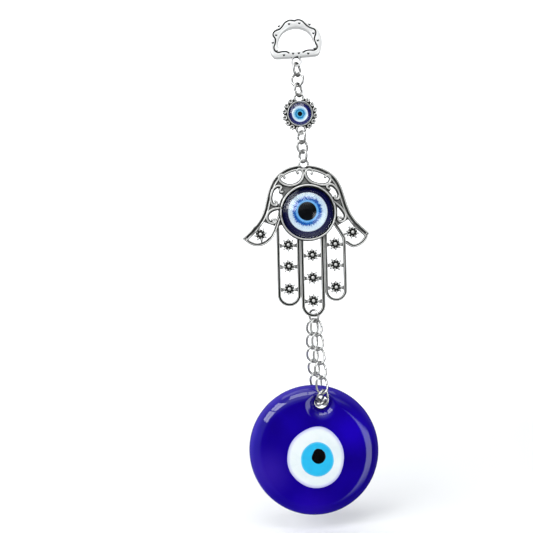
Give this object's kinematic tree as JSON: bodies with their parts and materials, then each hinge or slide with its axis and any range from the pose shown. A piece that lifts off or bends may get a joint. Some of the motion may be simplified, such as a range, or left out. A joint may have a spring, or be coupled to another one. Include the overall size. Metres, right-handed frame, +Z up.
{
  "type": "evil eye hanging ornament",
  "caption": "Hanging ornament: metal hanger, small eye connector, open-work hand with a glass-domed eye, doubled chain and a cobalt glass evil eye disc.",
  "frame": {"origin": "highest point inside the hanger's opening, where the hook holds it", "axes": "+Z up along the plumb line, -Y towards the front faces of the eyes, +X to the right seen from the front"},
  "size_m": [0.0542, 0.0133, 0.1988],
  "materials": {
    "antique_silver": "antiqued",
    "bright_wire": "polished",
    "printed_eye": "gloss",
    "clear_glass": "polished",
    "cobalt_glass": "polished",
    "white_glass": "polished",
    "light_blue_glass": "polished",
    "black_glass": "polished"
  },
  "bodies": {
    "hanger": {"hanger": "antique_silver"},
    "upper_ring_1": {"upper_ring_1": "bright_wire"},
    "upper_ring_2": {"upper_ring_2": "bright_wire"},
    "upper_ring_3": {"upper_ring_3": "bright_wire"},
    "small_eye": {"connector_casting": "antique_silver", "connector_eye_print": "printed_eye", "connector_glass_dome": "clear_glass"},
    "lower_ring_1": {"lower_ring_1": "bright_wire"},
    "lower_ring_2": {"lower_ring_2": "bright_wire"},
    "lower_ring_3": {"lower_ring_3": "bright_wire"},
    "hand": {"hand_casting": "antique_silver", "hand_eye_print": "printed_eye", "hand_glass_dome": "clear_glass"},
    "finger_ring": {"finger_ring": "bright_wire"},
    "chain_level_1": {"chain_front_1": "bright_wire", "chain_back_1": "bright_wire"},
    "chain_level_2": {"chain_front_2": "bright_wire", "chain_back_2": "bright_wire"},
    "chain_level_3": {"chain_front_3": "bright_wire", "chain_back_3": "bright_wire"},
    "chain_level_4": {"chain_front_4": "bright_wire", "chain_back_4": "bright_wire"},
    "chain_level_5": {"chain_front_5": "bright_wire", "chain_back_5": "bright_wire"},
    "chain_level_6": {"chain_front_6": "bright_wire", "chain_back_6": "bright_wire"},
    "hole_link": {"chain_hole_link": "bright_wire"},
    "disc": {"disc_cobalt_glass": "cobalt_glass", "disc_white_glass": "white_glass", "disc_light_blue_glass": "light_blue_glass", "disc_pupil_glass": "black_glass"}
  },
  "joints": [
    {"name": "hanger_lug_swing", "type": "hinge", "parent": "hanger", "child": "upper_ring_1", "pos_m": [-0.00028, 0, -0.01512], "axis": [1, 0, 0], "range_deg": [-40, 40]},
    {"name": "upper_ring_1_2", "type": "hinge", "parent": "upper_ring_1", "child": "upper_ring_2", "pos_m": [-0.00028, 0, -0.0192], "axis": [0.5299, 0.848, 0], "range_deg": [-35, 35]},
    {"name": "upper_ring_2_3", "type": "hinge", "parent": "upper_ring_2", "child": "upper_ring_3", "pos_m": [-0.00028, 0, -0.02329], "axis": [0.848, -0.5299, 0], "range_deg": [-35, 35]},
    {"name": "small_eye_swing", "type": "hinge", "parent": "upper_ring_3", "child": "small_eye", "pos_m": [-0.00028, 0, -0.02738], "axis": [-0.5299, -0.848, 0], "range_deg": [-35, 35]},
    {"name": "small_eye_lug_swing", "type": "hinge", "parent": "small_eye", "child": "lower_ring_1", "pos_m": [-0.00028, 0, -0.04244], "axis": [-1, 0, 0], "range_deg": [-35, 35]},
    {"name": "lower_ring_1_2", "type": "hinge", "parent": "lower_ring_1", "child": "lower_ring_2", "pos_m": [-0.00028, 0, -0.04627], "axis": [0.5299, -0.848, 0], "range_deg": [-35, 35]},
    {"name": "lower_ring_2_3", "type": "hinge", "parent": "lower_ring_2", "child": "lower_ring_3", "pos_m": [-0.00028, 0, -0.05006], "axis": [-0.848, -0.5299, 0], "range_deg": [-35, 35]},
    {"name": "hand_swing", "type": "hinge", "parent": "lower_ring_3", "child": "hand", "pos_m": [-0.00028, 0, -0.05384], "axis": [-0.5299, 0.848, 0], "range_deg": [-35, 35]},
    {"name": "finger_ring_swing", "type": "hinge", "parent": "hand", "child": "finger_ring", "pos_m": [-0.00043, 0, -0.11487], "axis": [1, 0, 0], "range_deg": [-30, 30]},
    {"name": "chain_swing_1", "type": "hinge", "parent": "finger_ring", "child": "chain_level_1", "pos_m": [-0.00043, 0, -0.11789], "axis": [-0.682, 0.7314, 0], "range_deg": [-30, 30]},
    {"name": "chain_swing_2", "type": "hinge", "parent": "chain_level_1", "child": "chain_level_2", "pos_m": [-0.00074, -0.00003, -0.12326], "axis": [-0.4794, 0.8776, 0.0089], "range_deg": [-30, 30]},
    {"name": "chain_swing_3", "type": "hinge", "parent": "chain_level_2", "child": "chain_level_3", "pos_m": [-0.00087, -0.00006, -0.1288], "axis": [0.3907, -0.9204, -0.0105], "range_deg": [-30, 30]},
    {"name": "chain_swing_4", "type": "hinge", "parent": "chain_level_3", "child": "chain_level_4", "pos_m": [-0.00081, -0.00009, -0.13434], "axis": [-0.2994, 0.954, 0.0116], "range_deg": [-30, 30]},
    {"name": "chain_swing_5", "type": "hinge", "parent": "chain_level_4", "child": "chain_level_5", "pos_m": [-0.00057, -0.00012, -0.13988], "axis": [0.2054, -0.9786, -0.0127], "range_deg": [-25, 25]},
    {"name": "chain_swing_6", "type": "hinge", "parent": "chain_level_5", "child": "chain_level_6", "pos_m": [-0.00022, -0.00015, -0.14556], "axis": [-0.1214, 0.9925, 0.0136], "range_deg": [-15, 15]},
    {"name": "hole_link_swing", "type": "hinge", "parent": "chain_level_6", "child": "hole_link", "pos_m": [-0.00003, 0.00001, -0.15034], "axis": [0.1844, -0.9828, 0], "range_deg": [-15, 15]},
    {"name": "disc_swing", "type": "hinge", "parent": "hole_link", "child": "disc", "pos_m": [-0.00003, 0, -0.14997], "axis": [0, 1, 0], "range_deg": [-52, 28]}
  ]
}
